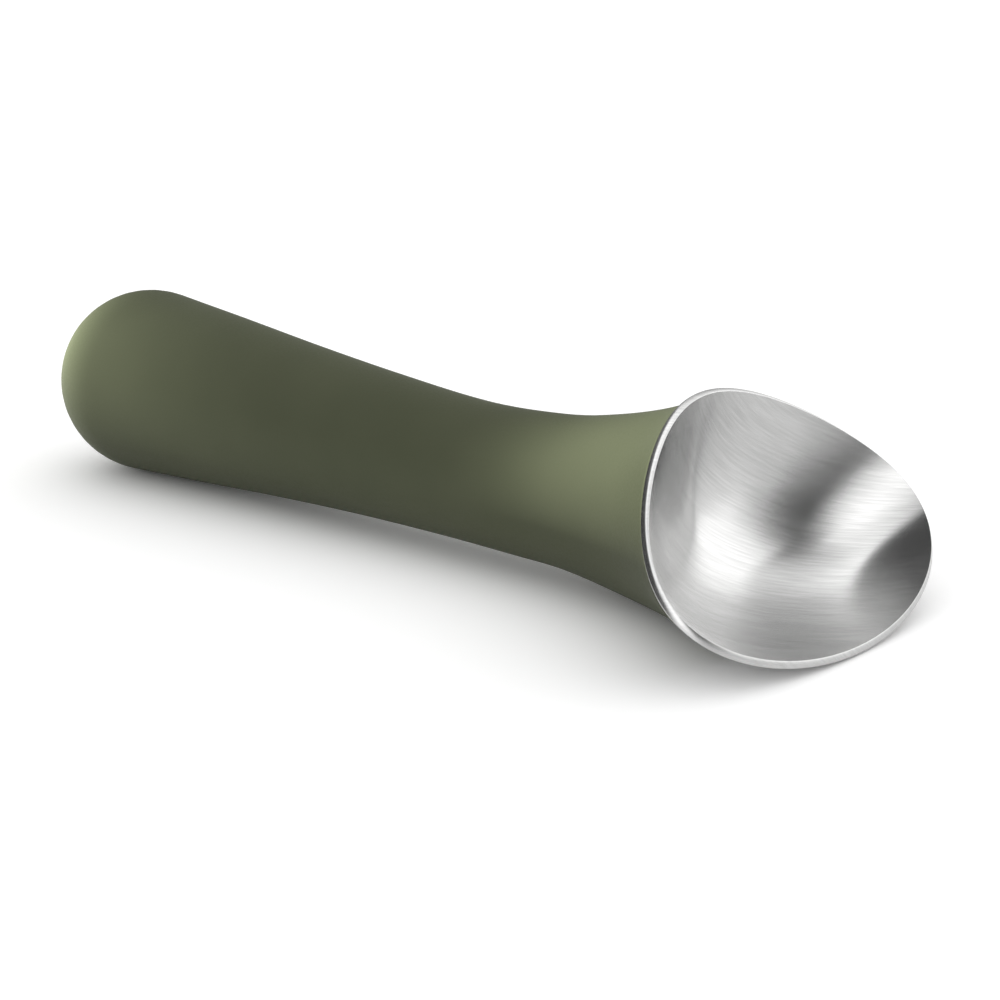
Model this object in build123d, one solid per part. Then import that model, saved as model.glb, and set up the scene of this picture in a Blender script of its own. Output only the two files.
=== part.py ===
from build123d import *
import math
import os

os.makedirs("parts", exist_ok=True)

# Ice cream scoop: a thick round handle with a pressed steel bowl set obliquely into its flared front.
# Millimetres. The handle lies along X with the bowl at +X, the symmetry plane is XZ, +Z is up, the
# table is z = 0 and the origin is on the table below the middle of the overall length.

# Handle outline, measured along the handle axis from the middle of the round tail
tail_radius = 17.5
tail_taper_angle = 4.4
shoulder_reach = 20.0
shoulder_radius = 16.1
grip_reach = 42.0
grip_radius = 14.4
palm_reach = 63.0
palm_radius = 13.1
waist_reach = 84.0
waist_radius = 12.3
throat_reach = 98.0
throat_radius = 12.5
throat_rise = 0.5
neck_reach = 112.0
neck_radius = 13.4
neck_rise = 1.6
flare_reach = 130.0
flare_half_height = 16.7
flare_half_width = 17.7
flare_rise = 3.7
collar_reach = 143.0
collar_half_height = 20.4
collar_half_width = 25.4
collar_rise = 7.3
mouth_reach = 152.0
mouth_half_height = 21.6
mouth_half_width = 33.5
mouth_rise = 9.3
lip_reach = 160.0
lip_half_height = 20.0
lip_half_width = 39.5
lip_rise = 10.4
skin_thickness = 2.0
lip_drop = 0.8

# Bowl, pressed from sheet, with a flat rim whose normal leans forward of straight up
rim_centre_reach = 151.7
rim_centre_rise = 6.4
rim_angle = 41.9
rim_half_length = 22.65
rim_end_fullness = 0.47
rim_half_width = 31.7
rim_front_breadth = 4.0
bowl_depth = 16.6
sheet_thickness = 1.2
side_wall_width = 1.6
bottom_turn = 84.0
bowl_layers = 7
outline_points = 28

# Hidden steel and the bed that the bowl sits on
bed_thickness = 0.8
bed_front_reach = 144.0
saddle_radius = 9.0
saddle_back_reach = 124.0
tang_back_reach = 24.0
tang_width = 4.0
tang_height = 12.0
weld_length = 3.0
weld_height = 2.0
pin_diameter = 3.0
pin_length = 18.0
rear_pin_reach = 40.0
front_pin_reach = 98.0

# Hollow in the tail half of the core
hollow_front_reach = 16.0
core_wall = 3.0

# Placement on the table: the scoop leans forward a little onto the lower lip of its mouth
rest_tilt = 1.75
bowl_lean = math.radians(rim_angle)
tip_along = rim_half_length + rim_end_fullness + sheet_thickness
tip_reach = rim_centre_reach + tip_along * math.sin(bowl_lean)
tip_rise = rim_centre_rise - tip_along * math.cos(bowl_lean)
tip_x = tip_reach * math.cos(math.radians(rest_tilt)) + tip_rise * math.sin(math.radians(rest_tilt))
middle_x = (tip_x - tail_radius) / 2
axis_height = tail_radius


def on_table(piece):
    return Pos(-middle_x, 0, axis_height) * Rot(0, rest_tilt, 0) * piece


def rim_plane(depth):
    normal = (math.cos(bowl_lean), 0, math.sin(bowl_lean))
    along = (math.sin(bowl_lean), 0, -math.cos(bowl_lean))
    plane = Plane(origin=(rim_centre_reach, 0, rim_centre_rise), x_dir=along, z_dir=normal)
    return plane.offset(-depth)


def egg(depth, size_share, half_length, half_width):
    points = []
    for index in range(outline_points):
        turn = 2 * math.pi * index / outline_points
        along = -half_length * math.cos(turn) - rim_end_fullness * math.cos(3 * turn)
        across = half_width * math.sin(turn) - rim_front_breadth * math.sin(2 * turn)
        points.append((along * size_share, across * size_share))
    return rim_plane(depth) * make_face(Spline(*points, periodic=True))


def bowl_body(growth, side_growth):
    # Stacked egg outlines that shrink with depth as a dish does
    sections = []
    for layer in range(bowl_layers):
        turn = math.radians(bottom_turn * layer / (bowl_layers - 1))
        depth = (bowl_depth + growth) * math.sin(turn) ** 2
        half_length = rim_half_length + growth
        half_width = rim_half_width + side_growth
        sections.append(egg(depth, math.cos(turn), half_length, half_width))
    return loft(sections)


def ring(reach, half_width, half_height, rise):
    return Plane(origin=(reach, 0, rise), x_dir=(0, 1, 0), z_dir=(1, 0, 0)) * Ellipse(half_width, half_height)


def handle_body(inset):
    # Round sections that widen into an oval mouth, closed at the tail by a ball
    taper = math.radians(tail_taper_angle)
    ball_radius = tail_radius - inset
    start_reach = ball_radius * math.sin(taper)
    start_radius = ball_radius * math.cos(taper)
    sections = [
        ring(start_reach, start_radius, start_radius, 0),
        ring(shoulder_reach, shoulder_radius - inset, shoulder_radius - inset, 0),
        ring(grip_reach, grip_radius - inset, grip_radius - inset, 0),
        ring(palm_reach, palm_radius - inset, palm_radius - inset, 0),
        ring(waist_reach, waist_radius - inset, waist_radius - inset, 0),
        ring(throat_reach, throat_radius - inset, throat_radius - inset, throat_rise),
        ring(neck_reach, neck_radius - inset, neck_radius - inset, neck_rise),
        ring(flare_reach, flare_half_width - inset, flare_half_height - inset, flare_rise),
        ring(collar_reach, collar_half_width - inset, collar_half_height - inset, collar_rise),
        ring(mouth_reach, mouth_half_width - inset, mouth_half_height - inset, mouth_rise),
        ring(lip_reach, lip_half_width - inset, lip_half_height - inset, lip_rise),
    ]
    ball = Sphere(ball_radius) & behind(start_reach)
    return loft(sections) + ball


def behind(reach):
    size = 4 * mouth_reach
    return Pos(reach - size / 2, 0, 0) * Box(size, size, size)


def rearmost(shape):
    # What is left behind the bowl when a body is trimmed by the bowl
    return shape.solids().sort_by(Axis.X)[0]


def bar(radius, start, end):
    return Pos((start + end) / 2, 0, 0) * Rot(0, 90, 0) * Cylinder(radius, end - start)


# Bowl
bowl_outside = bowl_body(sheet_thickness, side_wall_width)
bowl_inside = bowl_body(0, 0)
scoop_bowl = bowl_outside - bowl_inside

# Saddle and tang
saddle_front = rim_centre_reach
bowl_saddle = bar(saddle_radius, saddle_back_reach, saddle_front) - bowl_outside
bowl_saddle = rearmost(bowl_saddle)
tang_length = saddle_back_reach - tang_back_reach
tang_middle = (saddle_back_reach + tang_back_reach) / 2
tang_blank = Pos(tang_middle, 0, 0) * Box(tang_length, tang_width, tang_height)

# Cross pins
pin = Rot(90, 0, 0) * Cylinder(pin_diameter / 2, pin_length)
tang_pins = [Pos(rear_pin_reach, 0, 0) * pin, Pos(front_pin_reach, 0, 0) * pin]
handle_tang = tang_blank - tang_pins[0] - tang_pins[1]

# Weld bead round the tang where it stands on the saddle
weld_start = saddle_back_reach - weld_length
weld_foot = Plane(origin=(saddle_back_reach, 0, 0), x_dir=(0, 1, 0), z_dir=(1, 0, 0))
weld_top = Plane(origin=(weld_start, 0, 0), x_dir=(0, 1, 0), z_dir=(1, 0, 0))
foot_outline = weld_foot * Rectangle(tang_width + 2 * weld_height, tang_height + 2 * weld_height)
top_outline = weld_top * Rectangle(tang_width, tang_height)
tang_weld = loft([top_outline, foot_outline]) - tang_blank

# Bed between the bowl's back and the core
bed_outside = bowl_body(sheet_thickness + bed_thickness, side_wall_width + bed_thickness)
core_blank = handle_body(skin_thickness) & behind(bed_front_reach)
seal_bed = (core_blank & bed_outside) - bowl_outside - bowl_saddle

# Core in two halves that close round the steel
hollow_radius = grip_radius - skin_thickness - core_wall
hollow_back = hollow_radius - tail_radius + skin_thickness + core_wall
hollow = bar(hollow_radius, hollow_back, hollow_front_reach) + Pos(hollow_back, 0, 0) * Sphere(hollow_radius)
core = core_blank - bed_outside - bowl_saddle - tang_blank - tang_weld - hollow
core = core - tang_pins[0] - tang_pins[1]
half_size = 4 * mouth_reach
left_room = Pos(0, half_size / 2, 0) * Box(half_size, half_size, half_size)
right_room = Pos(0, -half_size / 2, 0) * Box(half_size, half_size, half_size)
core_half_left = rearmost(core & left_room)
core_half_right = rearmost(core & right_room)

# Soft skin moulded over the core, trimmed by the bowl's back and ending a little below its rim
above_lip = rim_plane(lip_drop) * Pos(0, 0, half_size / 2) * Box(half_size, half_size, half_size)
grip_skin = rearmost(handle_body(0) - core_blank - bowl_outside - above_lip)

pieces = {
    "scoop_bowl": scoop_bowl,
    "bowl_saddle": bowl_saddle,
    "handle_tang": handle_tang,
    "tang_weld": tang_weld,
    "tang_pins": Compound(children=tang_pins),
    "seal_bed": seal_bed,
    "core_half_left": core_half_left,
    "core_half_right": core_half_right,
    "grip_skin": grip_skin,
}
for name, piece in pieces.items():
    placed = on_table(piece)
    export_step(placed, f"parts/{name}.step")
    box = placed.bounding_box()
    print(name, len(placed.solids()), round(placed.volume, 1), box.min, box.max)
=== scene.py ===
# %% [markdown]
# # An ice cream scoop
# The scoop is a thick olive handle with a soft skin, and an oblique egg-shaped bowl of brushed steel that
# the handle's flared front holds from behind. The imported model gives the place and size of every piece,
# so the first step loads it and keeps its box, which the finished picture must not outgrow.

# %% Load the frame
import math
import bpy
import bmesh
from mathutils import Matrix, Vector


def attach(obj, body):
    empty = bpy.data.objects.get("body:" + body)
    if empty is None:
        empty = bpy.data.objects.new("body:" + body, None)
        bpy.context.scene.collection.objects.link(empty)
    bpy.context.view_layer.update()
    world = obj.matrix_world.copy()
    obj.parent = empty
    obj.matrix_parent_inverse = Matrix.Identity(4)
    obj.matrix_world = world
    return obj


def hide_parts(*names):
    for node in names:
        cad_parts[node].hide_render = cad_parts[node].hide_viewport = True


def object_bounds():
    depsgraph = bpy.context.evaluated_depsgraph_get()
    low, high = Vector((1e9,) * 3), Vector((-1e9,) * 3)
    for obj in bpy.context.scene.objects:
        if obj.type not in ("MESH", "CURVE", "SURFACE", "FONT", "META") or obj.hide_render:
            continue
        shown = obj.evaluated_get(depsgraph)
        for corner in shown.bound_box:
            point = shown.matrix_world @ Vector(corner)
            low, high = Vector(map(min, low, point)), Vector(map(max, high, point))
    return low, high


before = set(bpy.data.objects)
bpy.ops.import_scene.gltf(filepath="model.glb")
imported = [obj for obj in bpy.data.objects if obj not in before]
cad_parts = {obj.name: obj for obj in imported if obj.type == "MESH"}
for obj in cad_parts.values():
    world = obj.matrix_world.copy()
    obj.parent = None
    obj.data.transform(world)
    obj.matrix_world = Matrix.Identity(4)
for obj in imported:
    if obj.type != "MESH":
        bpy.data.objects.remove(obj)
cad_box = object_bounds()
print("CAD box", [[round(c, 4) for c in corner] for corner in cad_box])

# %% [markdown]
# ## Where things are
# Lengths below are in millimetres along the handle, counted from the middle of the round tail, because
# that is how such a handle is drawn. One function turns them into metres in the shared frame: the tail's
# middle lies one tail radius above the table, and the bowl's tip is the far end of the box.

# %% Place a point of the drawing
MILLIMETRE = 0.001
TAIL_RADIUS = 17.5
TAIL_X = cad_box[0][0] / MILLIMETRE + TAIL_RADIUS
REST_TILT = math.radians(1.75)
lean = Matrix.Rotation(REST_TILT, 3, "Y")


def place(reach, across, rise):
    return (lean @ Vector((reach, across, rise)) + Vector((TAIL_X, 0, TAIL_RADIUS))) * MILLIMETRE


print("tail middle at", place(0, 0, 0))

# %% [markdown]
# ## The bowl's form
# The bowl is pressed from sheet and then cut by one slanted plane, so its rim is a flat egg, broader
# towards the tip. Below the rim the same egg shrinks as a shallow dish does: its size goes with the
# square root of the depth that is left, which rounds the bottom. A formula gives this better than a
# sculpted mesh, because the handle has to meet the same surface from outside.

# %% The bowl as a formula
RIM_REACH = 151.7
RIM_RISE = 6.4
RIM_LEAN = math.radians(41.9)
RIM_HALF_LENGTH = 22.65
RIM_END_FULLNESS = 0.47
RIM_HALF_WIDTH = 31.7
RIM_FRONT_BREADTH = 4.0
BOWL_DEPTH = 16.6

rim_middle = Vector((RIM_REACH, 0.0, RIM_RISE))
rim_normal = Vector((math.cos(RIM_LEAN), 0.0, math.sin(RIM_LEAN)))
rim_along = Vector((math.sin(RIM_LEAN), 0.0, -math.cos(RIM_LEAN)))


def egg(turn, growth, side_growth):
    along = -(RIM_HALF_LENGTH + growth) * math.cos(turn) - RIM_END_FULLNESS * math.cos(3 * turn)
    across = (RIM_HALF_WIDTH + side_growth) * math.sin(turn) - RIM_FRONT_BREADTH * math.sin(2 * turn)
    return along, across


def bowl_point(turn, depth_share):
    along, across = egg(turn, 0, 0)
    along *= math.sqrt(1 - depth_share)
    across *= math.sqrt(1 - depth_share)
    spot = rim_middle + rim_along * along - rim_normal * (BOWL_DEPTH * depth_share)
    return place(spot.x, across, spot.z)


print("rim heel and tip", bowl_point(0, 0), bowl_point(math.pi, 0))

# %% [markdown]
# ## The steel bowl
# The sheet starts as one circle of points on the rim. Extruding that loop again and again and moving each
# new loop onto the formula gives rows that follow the pressing. The last loop is merged to close the
# bottom. Solidify then adds the sheet's thickness outwards, which leaves the cut edge square to
# the wall as a sheared sheet has it, and a small bevel takes the burr off both of its corners.

# %% Helpers for rows of points
def first_loop(bm, count):
    made = bmesh.ops.create_circle(bm, cap_ends=False, segments=count, radius=1.0)
    loop = sorted(made["verts"], key=lambda vert: math.atan2(vert.co.y, vert.co.x) % (2 * math.pi))
    return loop


def next_loop(bm, loop):
    # The extruded copy of a loop, in the same order
    count = len(loop)
    edges = [bm.edges.get((loop[i], loop[(i + 1) % count])) for i in range(count)]
    made = bmesh.ops.extrude_edge_only(bm, edges=edges)
    fresh = {vert for vert in made["geom"] if isinstance(vert, bmesh.types.BMVert)}
    bm.edges.index_update()
    beyond = {vert: [edge.other_vert(vert) for edge in vert.link_edges] for vert in loop}
    return [next(other for other in beyond[vert] if other in fresh) for vert in loop]


def finish_piece(bm, name, body="root"):
    bmesh.ops.remove_doubles(bm, verts=bm.verts, dist=1e-7)
    bmesh.ops.recalc_face_normals(bm, faces=bm.faces)
    mesh = bpy.data.meshes.new(name)
    bm.to_mesh(mesh)
    bm.free()
    mesh.shade_smooth()
    piece = bpy.data.objects.new(name, mesh)
    bpy.context.scene.collection.objects.link(piece)
    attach(piece, body)
    print(name, len(mesh.polygons), "faces")
    return piece


# %% Press the bowl
BOWL_COLUMNS = 160
BOWL_ROWS = 30
SHEET = 1.2
BURR = 0.22
BURR_ANGLE = math.radians(50)
bowl_mesh = bmesh.new()
loop = first_loop(bowl_mesh, BOWL_COLUMNS)
for row in range(BOWL_ROWS):
    depth_share = math.sin(0.5 * math.pi * row / BOWL_ROWS) ** 2
    if row:
        loop = next_loop(bowl_mesh, loop)
    for column, vert in enumerate(loop):
        vert.co = bowl_point(2 * math.pi * column / BOWL_COLUMNS, depth_share)
loop = next_loop(bowl_mesh, loop)
bmesh.ops.pointmerge(bowl_mesh, verts=loop, merge_co=bowl_point(0, 1.0))
bowl = finish_piece(bowl_mesh, "bowl_sheet")
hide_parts("scoop_bowl")

# %% Give the sheet its thickness
inward = bowl.data.polygons[0].normal.dot(rim_normal)
wall = bowl.modifiers.new("sheet", "SOLIDIFY")
wall.thickness = SHEET * MILLIMETRE
wall.offset = -1.0 if inward > 0 else 1.0
wall.use_even_offset = True
burr = bowl.modifiers.new("deburr", "BEVEL")
burr.width = BURR * MILLIMETRE
burr.segments = 2
burr.limit_method = "ANGLE"
burr.angle_limit = BURR_ANGLE
print("first face looks", "into" if inward > 0 else "out of", "the bowl")

# %% [markdown]
# ## The handle's form
# The handle is turned in spirit: round from the tail to the waist, then it rises a little and widens
# into an oval that hugs the bowl. A few stations with a smooth curve between them say all of this.
# The curve passes through every station and leaves each at the mean slope of its neighbours.

# %% Stations along the handle
TAIL_TAPER = math.radians(4.4)
stations = [
    # reach, half width, half height, rise
    (20.0, 16.1, 16.1, 0.0),
    (42.0, 14.4, 14.4, 0.0),
    (63.0, 13.1, 13.1, 0.0),
    (84.0, 12.3, 12.3, 0.0),
    (98.0, 12.5, 12.5, 0.5),
    (112.0, 13.4, 13.4, 1.6),
    (130.0, 17.7, 16.7, 3.7),
    (143.0, 25.4, 20.4, 7.3),
    (152.0, 33.5, 21.6, 9.3),
    (160.0, 39.5, 20.0, 10.4),
]
start_reach = TAIL_RADIUS * math.sin(TAIL_TAPER)
start_radius = TAIL_RADIUS * math.cos(TAIL_TAPER)
stations.insert(0, (start_reach, start_radius, start_radius, 0.0))


def station_slope(index, column):
    if index == 0:
        return -math.tan(TAIL_TAPER) if column < 3 else 0.0
    before = stations[index - 1]
    after = stations[min(index + 1, len(stations) - 1)]
    return (after[column] - before[column]) / (after[0] - before[0])


def handle_size(reach):
    index = max(i for i in range(len(stations) - 1) if stations[i][0] <= reach or i == 0)
    low, high = stations[index], stations[index + 1]
    span = high[0] - low[0]
    t = (reach - low[0]) / span
    sizes = []
    for column in (1, 2, 3):
        a, b = low[column], high[column]
        m, n = station_slope(index, column) * span, station_slope(index + 1, column) * span
        sizes.append((2 * t**3 - 3 * t**2 + 1) * a + (t**3 - 2 * t**2 + t) * m
                     + (3 * t**2 - 2 * t**3) * b + (t**3 - t**2) * n)
    return sizes


def handle_spot(reach, turn, inset):
    half_width, half_height, rise = handle_size(reach)
    across = (half_width - inset) * math.cos(turn)
    return Vector((reach, across, rise + (half_height - inset) * math.sin(turn)))


print("waist", [round(size, 2) for size in handle_size(84.0)])

# %% [markdown]
# ## Where the skin meets the steel
# On the real scoop the skin is moulded against the back of the bowl. Along each line of the handle the
# skin therefore ends where it would dive into the steel. Halving the interval again and again finds
# that place. A boolean would find it too, but would leave a ragged edge instead of one clean row.

# %% Find the seam
BOWL_SIDE_SHEET = 1.6
LIP_DROP = 0.8


def in_bowl(spot, gap):
    # True where a spot lies inside the bowl's outer surface, grown by a gap
    offset = spot - rim_middle
    depth_share = -offset.dot(rim_normal) / (BOWL_DEPTH + SHEET + gap)
    if -offset.dot(rim_normal) < LIP_DROP:
        return True
    if depth_share >= 1:
        return False
    share = math.sqrt(1 - depth_share)
    along = offset.dot(rim_along) / share
    low, high = 0.0, math.pi
    if not egg(low, SHEET + gap, 0)[0] < along < egg(high, SHEET + gap, 0)[0]:
        return False
    for _ in range(30):
        turn = (low + high) / 2
        if egg(turn, SHEET + gap, BOWL_SIDE_SHEET + gap)[0] < along:
            low = turn
        else:
            high = turn
    return abs(offset.y) < egg(turn, SHEET + gap, BOWL_SIDE_SHEET + gap)[1] * share


FLARE_START = 118.0


def seam_reach(turn, inset, gap):
    near, far = FLARE_START, stations[-1][0]
    for _ in range(40):
        middle = (near + far) / 2
        if in_bowl(handle_spot(middle, turn, inset), gap):
            far = middle
        else:
            near = middle
    return near


print("seam at heel, side and belly",
      [round(seam_reach(turn, 0, 0), 1) for turn in (math.pi / 2, 0, -math.pi / 2)])

# %% [markdown]
# ## The soft skin
# The skin is a closed shell two millimetres thick. Its rows start at the tail's pole, run over the ball and
# along the handle to the seam, turn in along the back of the bowl and run all the way back inside. So
# one loop of points is extruded from the first pole to the last, and only its place changes.

# %% Mould the skin
SKIN = 2.0
SEAM_GAP = 0.12
GRIP_COLUMNS = 128
BALL_ROWS = 16
SIDE_ROWS = 48
FLARE_ROWS = 28
turns = [2 * math.pi * column / GRIP_COLUMNS for column in range(GRIP_COLUMNS)]


def skin_rows(inset, gap):
    rows = []
    ball = TAIL_RADIUS - inset
    for row in range(1, BALL_ROWS + 1):
        angle = (0.5 * math.pi + TAIL_TAPER) * row / BALL_ROWS
        rows.append([Vector((-ball * math.cos(angle), ball * math.sin(angle) * math.cos(turn),
                             ball * math.sin(angle) * math.sin(turn))) for turn in turns])
    for row in range(1, SIDE_ROWS + 1):
        reach = start_reach + (FLARE_START - start_reach) * row / SIDE_ROWS
        rows.append([handle_spot(reach, turn, inset) for turn in turns])
    ends = [seam_reach(turn, inset, gap) for turn in turns]
    for row in range(1, FLARE_ROWS + 1):
        share = row / FLARE_ROWS
        rows.append([handle_spot(FLARE_START + (end - FLARE_START) * share, turn, inset)
                     for turn, end in zip(turns, ends)])
    return rows


outer_rows = skin_rows(0.0, SEAM_GAP)
inner_rows = skin_rows(SKIN, SEAM_GAP)
grip_mesh = bmesh.new()
loop = first_loop(grip_mesh, GRIP_COLUMNS)
for index, row in enumerate(outer_rows + inner_rows[::-1]):
    if index:
        loop = next_loop(grip_mesh, loop)
    for vert, spot in zip(loop, row):
        vert.co = place(*spot)
    if index == 0:
        first = list(loop)
for pole_loop, inset in ((first, 0.0), (loop, SKIN)):
    tip = next_loop(grip_mesh, pole_loop)
    bmesh.ops.pointmerge(grip_mesh, verts=tip, merge_co=place(inset - TAIL_RADIUS, 0, 0))
grip = finish_piece(grip_mesh, "soft_skin")
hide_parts("grip_skin")

# %% [markdown]
# ## Brushed steel
# The bowl is brushed slantwise across its mouth. Grooves scatter light across themselves and hardly
# along themselves, so reflections stretch into bands across the brushing. The shader's anisotropy does
# that once its tangent is the direction across the grooves, which is the surface normal crossed with
# the brushing. Noise stretched the same way varies the tone and the roughness and raises the grooves.

# %% Node helpers
def new_material(name):
    material = bpy.data.materials.new(name)
    material.use_nodes = True
    tree = material.node_tree
    return material, tree.nodes, tree.links, tree.nodes["Principled BSDF"]


def stretched_noise(nodes, links, scale, stretch, detail=4.0, turned=None):
    place_node = nodes.new("ShaderNodeTexCoord")
    turn_node = nodes.new("ShaderNodeMapping")
    turn_node.vector_type = "TEXTURE"
    turn_node.inputs["Scale"].default_value = stretch
    if turned:
        turn_node.inputs["Rotation"].default_value = turned.to_euler()
    noise = nodes.new("ShaderNodeTexNoise")
    noise.inputs["Scale"].default_value = scale
    noise.inputs["Detail"].default_value = detail
    links.new(place_node.outputs["Object"], turn_node.inputs["Vector"])
    links.new(turn_node.outputs["Vector"], noise.inputs["Vector"])
    return noise


def ramp(nodes, links, source, low, high, low_at=0.3, high_at=0.7):
    mapped = nodes.new("ShaderNodeMapRange")
    mapped.inputs["From Min"].default_value = low_at
    mapped.inputs["From Max"].default_value = high_at
    mapped.inputs["To Min"].default_value = low
    mapped.inputs["To Max"].default_value = high
    links.new(source, mapped.inputs["Value"])
    return mapped.outputs["Result"]


def colour_ramp(nodes, links, source, low, high, low_at=0.3, high_at=0.7):
    node = nodes.new("ShaderNodeValToRGB")
    node.color_ramp.elements[0].position = low_at
    node.color_ramp.elements[0].color = (*low, 1)
    node.color_ramp.elements[1].position = high_at
    node.color_ramp.elements[1].color = (*high, 1)
    links.new(source, node.inputs["Fac"])
    return node.outputs["Color"]


def bump(nodes, links, source, shader, strength, distance):
    node = nodes.new("ShaderNodeBump")
    node.inputs["Strength"].default_value = strength
    node.inputs["Distance"].default_value = distance
    links.new(source, node.inputs["Height"])
    links.new(node.outputs["Normal"], shader.inputs["Normal"])


# %% Make the brushed steel
BRUSH_TURN = math.radians(50)
BRUSH_LIFT = math.radians(15)
STEEL_TONES = (0.46, 0.46, 0.456), (0.54, 0.54, 0.536)
GROOVES_PER_METRE = 4200
brushing = rim_along * math.cos(BRUSH_TURN) + Vector((0.0, math.sin(BRUSH_TURN), 0.0))
brushing = brushing * math.cos(BRUSH_LIFT) + rim_normal * math.sin(BRUSH_LIFT)
brush_side = brushing.cross(rim_normal).normalized()
brush_frame = Matrix((brushing, brush_side.cross(brushing), brush_side)).transposed()
steel, nodes, links, shader = new_material("brushed_steel")
shader.inputs["Metallic"].default_value = 1.0
shader.inputs["Anisotropic"].default_value = 1.0
across_grooves = nodes.new("ShaderNodeVectorMath")
across_grooves.operation = "CROSS_PRODUCT"
across_grooves.inputs[1].default_value = brushing
facing = nodes.new("ShaderNodeNewGeometry")
links.new(facing.outputs["Normal"], across_grooves.inputs[0])
links.new(across_grooves.outputs["Vector"], shader.inputs["Tangent"])
grooves = stretched_noise(nodes, links, 1.0, (1 / 160, 1 / 160, 1 / GROOVES_PER_METRE), 2.0, brush_frame)
broad = stretched_noise(nodes, links, 1.0, (1 / 16, 1 / 16, 1 / 300), 2.0, brush_frame)
steel_tone = colour_ramp(nodes, links, grooves.outputs["Fac"], *STEEL_TONES)
links.new(steel_tone, shader.inputs["Base Color"])
links.new(ramp(nodes, links, broad.outputs["Fac"], 0.20, 0.24), shader.inputs["Roughness"])
bump(nodes, links, grooves.outputs["Fac"], shader, 0.004, 0.00002)
bowl.data.materials.append(steel)
print("steel on", bowl.name)

# %% [markdown]
# ## Soft-touch skin
# The skin is a matte olive rubber with a very fine moulded grain. It has no seam. A high roughness and a
# low specular level keep its highlight broad and faint. Two noises, one wide and faint and one as
# fine as the grain, keep the colour from being flat.

# %% Make the olive skin
OLIVE_TONES = (0.070, 0.078, 0.045), (0.078, 0.086, 0.050)
olive, nodes, links, shader = new_material("olive_soft_touch")
grain = stretched_noise(nodes, links, 2600.0, (1.0, 1.0, 1.0), 3.0)
cloud = stretched_noise(nodes, links, 45.0, (1.0, 1.0, 1.0), 2.0)
olive_tone = colour_ramp(nodes, links, cloud.outputs["Fac"], *OLIVE_TONES)
links.new(olive_tone, shader.inputs["Base Color"])
links.new(ramp(nodes, links, grain.outputs["Fac"], 0.52, 0.62), shader.inputs["Roughness"])
shader.inputs["Specular IOR Level"].default_value = 0.15
bump(nodes, links, grain.outputs["Fac"], shader, 0.15, 0.00004)
grip.data.materials.append(olive)
print("skin on", grip.name)

# %% [markdown]
# ## The hidden pieces
# Inside the skin are the two core halves, the tang with its pins, the weld, the saddle and the seal. They
# keep their CAD shapes and only get finishes: moulded plastic, drawn steel, a heat-tinted weld, rubber.

# %% Finish the hidden pieces
ROUGHNESS_SPREAD = 0.06
EVEN = (1, 1, 1)
DRAWN = (1 / 80, 1 / 1800, 1 / 1800)


def plain_finish(name, low, high, scale, stretch, roughness, metallic):
    material, nodes, links, shader = new_material(name)
    noise = stretched_noise(nodes, links, scale, stretch)
    shader.inputs["Metallic"].default_value = metallic
    links.new(colour_ramp(nodes, links, noise.outputs["Fac"], low, high), shader.inputs["Base Color"])
    gloss = ramp(nodes, links, noise.outputs["Fac"], roughness - ROUGHNESS_SPREAD, roughness + ROUGHNESS_SPREAD)
    links.new(gloss, shader.inputs["Roughness"])
    bump(nodes, links, noise.outputs["Fac"], shader, 0.15, 0.00005)
    return material


core_plastic = plain_finish("core_plastic", (0.030, 0.032, 0.028), (0.042, 0.044, 0.038), 900.0, EVEN, 0.5, 0.0)
drawn_steel = plain_finish("drawn_steel", (0.45, 0.45, 0.44), (0.56, 0.56, 0.55), 1.0, DRAWN, 0.35, 1.0)
weld_steel = plain_finish("tinted_weld", (0.30, 0.26, 0.22), (0.50, 0.48, 0.46), 700.0, EVEN, 0.42, 1.0)
seal_rubber = plain_finish("seal_rubber", (0.018, 0.018, 0.018), (0.030, 0.030, 0.030), 1200.0, EVEN, 0.7, 0.0)
finishes = {
    "core_half_left": core_plastic,
    "core_half_right": core_plastic,
    "handle_tang": drawn_steel,
    "bowl_saddle": drawn_steel,
    "tang_pins": drawn_steel,
    "tang_weld": weld_steel,
    "seal_bed": seal_rubber,
}
for node, material in finishes.items():
    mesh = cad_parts[node].data
    mesh.materials.clear()
    mesh.materials.append(material)
print("finished", ", ".join(finishes))

# %% [markdown]
# ## The table
# The scoop lies on a large white sheet that catches its shadow. The sheet has three tones: one that the
# camera sees, which is white outside the shadow, one that the steel mirrors, and one that throws light back
# onto the scoop from below.

# %% Lay the floor
FLOOR_SIZE = 8.0
FLOOR_THROWN_BACK = 0.7
FLOOR_SEEN = 1.15
FLOOR_MIRRORED = 1.15
floor_mesh = bmesh.new()
bmesh.ops.create_grid(floor_mesh, x_segments=1, y_segments=1, size=FLOOR_SIZE / 2)
mesh = bpy.data.meshes.new("floor_sheet")
floor_mesh.to_mesh(mesh)
floor_mesh.free()
floor = bpy.data.objects.new("floor_sheet", mesh)
bpy.context.scene.collection.objects.link(floor)
paper, nodes, links, shader = new_material("white_paper")
sheet = nodes.new("ShaderNodeBsdfDiffuse")
ray = nodes.new("ShaderNodeLightPath")
tone = nodes.new("ShaderNodeMix")
tone.data_type = "RGBA"
tone.inputs["A"].default_value = (FLOOR_THROWN_BACK,) * 3 + (1,)
tone.inputs["B"].default_value = (FLOOR_SEEN,) * 3 + (1,)
links.new(ray.outputs["Is Camera Ray"], tone.inputs["Factor"])
mirrored = nodes.new("ShaderNodeMix")
mirrored.data_type = "RGBA"
mirrored.inputs["B"].default_value = (FLOOR_MIRRORED,) * 3 + (1,)
links.new(ray.outputs["Is Glossy Ray"], mirrored.inputs["Factor"])
links.new(tone.outputs["Result"], mirrored.inputs["A"])
links.new(mirrored.outputs["Result"], sheet.inputs["Color"])
links.new(sheet.outputs["BSDF"], nodes["Material Output"].inputs["Surface"])
nodes.remove(shader)
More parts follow.
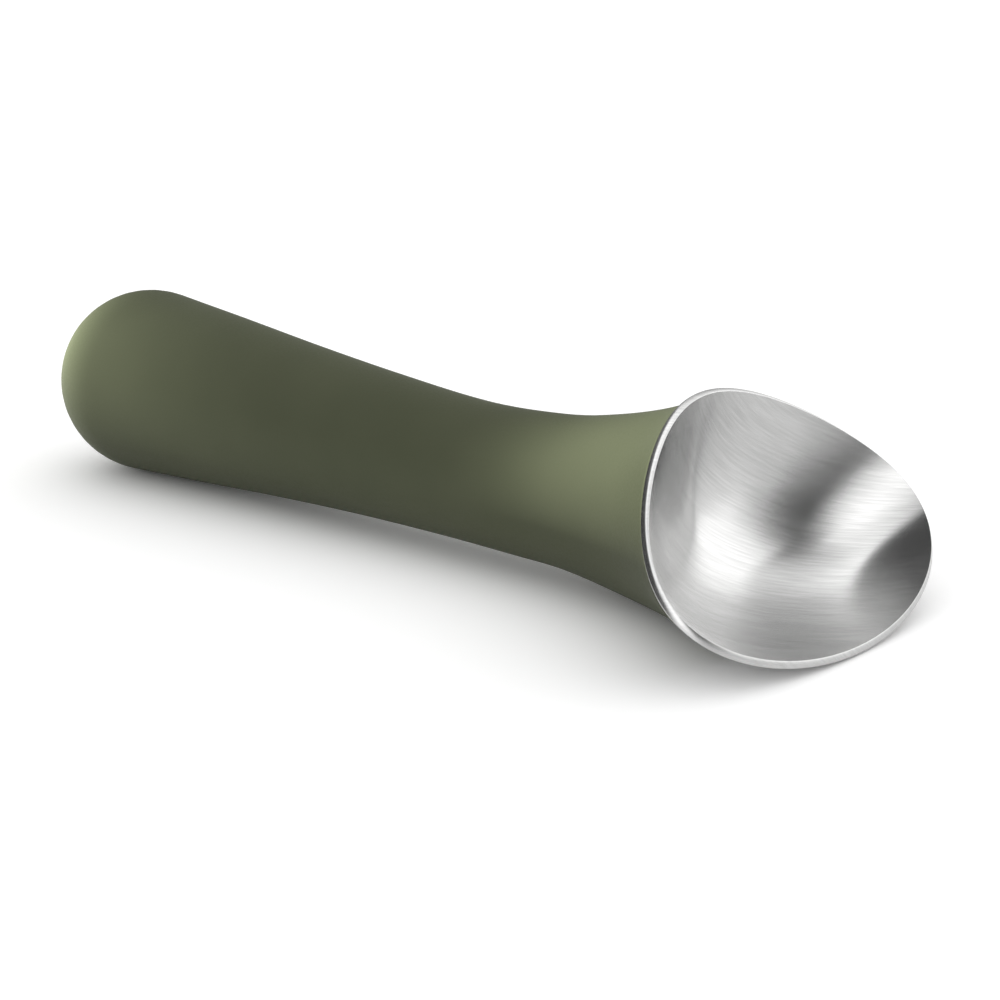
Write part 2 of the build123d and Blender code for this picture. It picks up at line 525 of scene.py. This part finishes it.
mesh.materials.append(paper)
print("floor", FLOOR_SIZE, "m wide")

# %% [markdown]
# ## The dark card
# The upper half of the bowl mirrors the table in front of it. A wedge of dark felt lies there, as a
# photographer lays a flag, and gives the dark band across the steel. Only mirror-like rays see it.

# %% Lay a dark card in front of the bowl
CARD_NEAR = 0.030
CARD_FAR = 0.6
CARD_TURNS = (math.radians(-20), math.radians(2))
FELT = (0.05, 0.05, 0.05, 1)
card_middle = Vector((0.078, 0.0, 0.0005))
card_mesh = bmesh.new()
bmesh.ops.create_grid(card_mesh, x_segments=1, y_segments=1, size=1.0)
for vert in card_mesh.verts:
    turn = CARD_TURNS[0] if vert.co.y < 0 else CARD_TURNS[1]
    distance = CARD_NEAR if vert.co.x < 0 else CARD_FAR
    vert.co = card_middle + Vector((math.cos(turn), math.sin(turn), 0.0)) * distance
mesh = bpy.data.meshes.new("dark_card")
card_mesh.to_mesh(mesh)
card_mesh.free()
card = bpy.data.objects.new("dark_card", mesh)
bpy.context.scene.collection.objects.link(card)
card.visible_camera = False
card.visible_diffuse = False
card.visible_shadow = False
felt, nodes, links, shader = new_material("black_felt")
shader.inputs["Base Color"].default_value = FELT
shader.inputs["Roughness"].default_value = 1.0
mesh.materials.append(felt)
print("card from", CARD_NEAR, "to", CARD_FAR)

# %% [markdown]
# ## The room's light
# A plain white dome lights everything softly. Steel shows what stands round it, so mirror-like rays see two
# rings of panels in place of the dome, one low and one above it. Each ring is a list of compass turns
# in degrees with the level of light there, bright for a panel and near zero for a gap.

# %% Light the room
world = bpy.data.worlds.new("studio")
bpy.context.scene.world = world
world.use_nodes = True
nodes, links = world.node_tree.nodes, world.node_tree.links
dome = nodes["Background"]
dome.inputs["Color"].default_value = (1, 1, 1, 1)
dome.inputs["Strength"].default_value = 1.0
panels = nodes.new("ShaderNodeBackground")
direction = nodes.new("ShaderNodeTexCoord")
apart = nodes.new("ShaderNodeSeparateXYZ")
links.new(direction.outputs["Generated"], apart.inputs["Vector"])
compass = nodes.new("ShaderNodeMath")
compass.operation = "ARCTAN2"
links.new(apart.outputs["Y"], compass.inputs[0])
links.new(apart.outputs["X"], compass.inputs[1])
turn_share = nodes.new("ShaderNodeMapRange")
turn_share.inputs["From Min"].default_value = -math.pi
turn_share.inputs["From Max"].default_value = math.pi
links.new(compass.outputs["Value"], turn_share.inputs["Value"])
PANEL_PEAK = 2.4
TOP_RING_FROM = math.radians(44)
TOP_RING_FULL = math.radians(54)
low_stops = [(-180, 0.05), (-60, 0.1), (-46, 1.6), (-36, 2.4), (-25, 2.2), (-16, 0.1), (-4, 0.0), (8, 0.6),
             (18, 2.0), (45, 2.2), (62, 2.4), (90, 2.4), (106, 1.6), (122, 0.5), (140, 0.2), (180, 0.05)]
top_stops = [(-180, 0.05), (-62, 0.1), (-52, 1.8), (-20, 2.2), (-12, 0.3), (15, 0.3), (35, 1.4), (60, 1.6),
             (85, 1.6), (98, 2.4), (124, 2.4), (130, 0.3), (180, 0.05)]


def panel_ring(stops):
    bands = nodes.new("ShaderNodeValToRGB")
    links.new(turn_share.outputs["Result"], bands.inputs["Fac"])
    while len(bands.color_ramp.elements) < len(stops):
        bands.color_ramp.elements.new(0.5)
    for element, (at, level) in zip(bands.color_ramp.elements, stops):
        element.position = (at + 180) / 360
        element.color = (level / PANEL_PEAK, level / PANEL_PEAK, level / PANEL_PEAK, 1)
    return bands.outputs["Color"]


height = nodes.new("ShaderNodeMapRange")
height.interpolation_type = "SMOOTHSTEP"
height.inputs["From Min"].default_value = math.sin(TOP_RING_FROM)
height.inputs["From Max"].default_value = math.sin(TOP_RING_FULL)
links.new(apart.outputs["Z"], height.inputs["Value"])
rings = nodes.new("ShaderNodeMix")
rings.data_type = "RGBA"
links.new(height.outputs["Result"], rings.inputs["Factor"])
links.new(panel_ring(low_stops), rings.inputs["A"])
links.new(panel_ring(top_stops), rings.inputs["B"])
links.new(rings.outputs["Result"], panels.inputs["Color"])
panels.inputs["Strength"].default_value = PANEL_PEAK
ray = nodes.new("ShaderNodeLightPath")
which = nodes.new("ShaderNodeMixShader")
links.new(ray.outputs["Is Glossy Ray"], which.inputs["Fac"])
links.new(dome.outputs["Background"], which.inputs[1])
links.new(panels.outputs["Background"], which.inputs[2])
links.new(which.outputs["Shader"], nodes["World Output"].inputs["Surface"])


print("panels in the rings", len(low_stops), len(top_stops))

# %% [markdown]
# ## Two lamps on the skin
# The tail's end and the upper side of the flare are brighter than the rest of the skin. One narrow beam
# grazes the near side of the tail's end from behind, and another falls on the flare from above.

# %% Place the lamps
lit_by_lamps = bpy.data.collections.new("lit_by_lamps")
lit_by_lamps.objects.link(grip)
LAMP_RADIUS = 0.01


def lamp(name, target, towards_lamp, distance, beam_radius, power):
    # A narrow soft beam on one spot of the skin
    light = bpy.data.lights.new(name, "SPOT")
    light.energy = power
    light.spot_size = 2 * math.atan(beam_radius / distance)
    light.spot_blend = 1.0
    light.shadow_soft_size = LAMP_RADIUS
    stand = bpy.data.objects.new(name, light)
    bpy.context.scene.collection.objects.link(stand)
    away = Vector(towards_lamp).normalized()
    stand.location = Vector(target) + away * distance
    stand.rotation_euler = (-away).to_track_quat("-Z", "Y").to_euler()
    stand.visible_glossy = False
    stand.visible_camera = False
    stand.light_linking.receiver_collection = lit_by_lamps
    return stand


lamp("tail_lamp", (-0.089, -0.012, 0.026), (-0.9, -0.28, 0.3), 0.3, 0.014, 30.0)
lamp("flare_lamp", (0.0565, -0.029, 0.028), (-0.1, -0.15, 0.95), 0.5, 0.042, 30.0)
print("lit")

# %% [markdown]
# ## The camera
# The photograph looks down by about eighteen degrees, from the side of the bowl, with a lens of moderate
# length.

# %% Set up the camera
VIEW_TURN = math.radians(42.49)
VIEW_TILT = math.radians(18.38)
VIEW_DISTANCE = 511.2
VIEW_SHIFT_RIGHT = -67.6
VIEW_SHIFT_UP = 6.74
LENS = 93.6
level = math.cos(VIEW_TILT)
towards = Vector((level * math.sin(VIEW_TURN), -level * math.cos(VIEW_TURN), math.sin(VIEW_TILT)))
right = Vector((math.cos(VIEW_TURN), math.sin(VIEW_TURN), 0.0))
up = towards.cross(right)
eye = towards * VIEW_DISTANCE - right * VIEW_SHIFT_RIGHT - up * VIEW_SHIFT_UP
lens = bpy.data.cameras.new("camera")
lens.lens = LENS
lens.sensor_width = 36.0
lens.clip_start = 0.01
camera = bpy.data.objects.new("camera", lens)
bpy.context.scene.collection.objects.link(camera)
turned = (lean @ Matrix((right, up, towards)).transposed()).to_4x4()
camera.matrix_world = Matrix.Translation(place(eye.x, eye.y, eye.z - TAIL_RADIUS)) @ turned
bpy.context.scene.camera = camera
bpy.context.scene.view_settings.view_transform = "Standard"
print("camera at", camera.location)
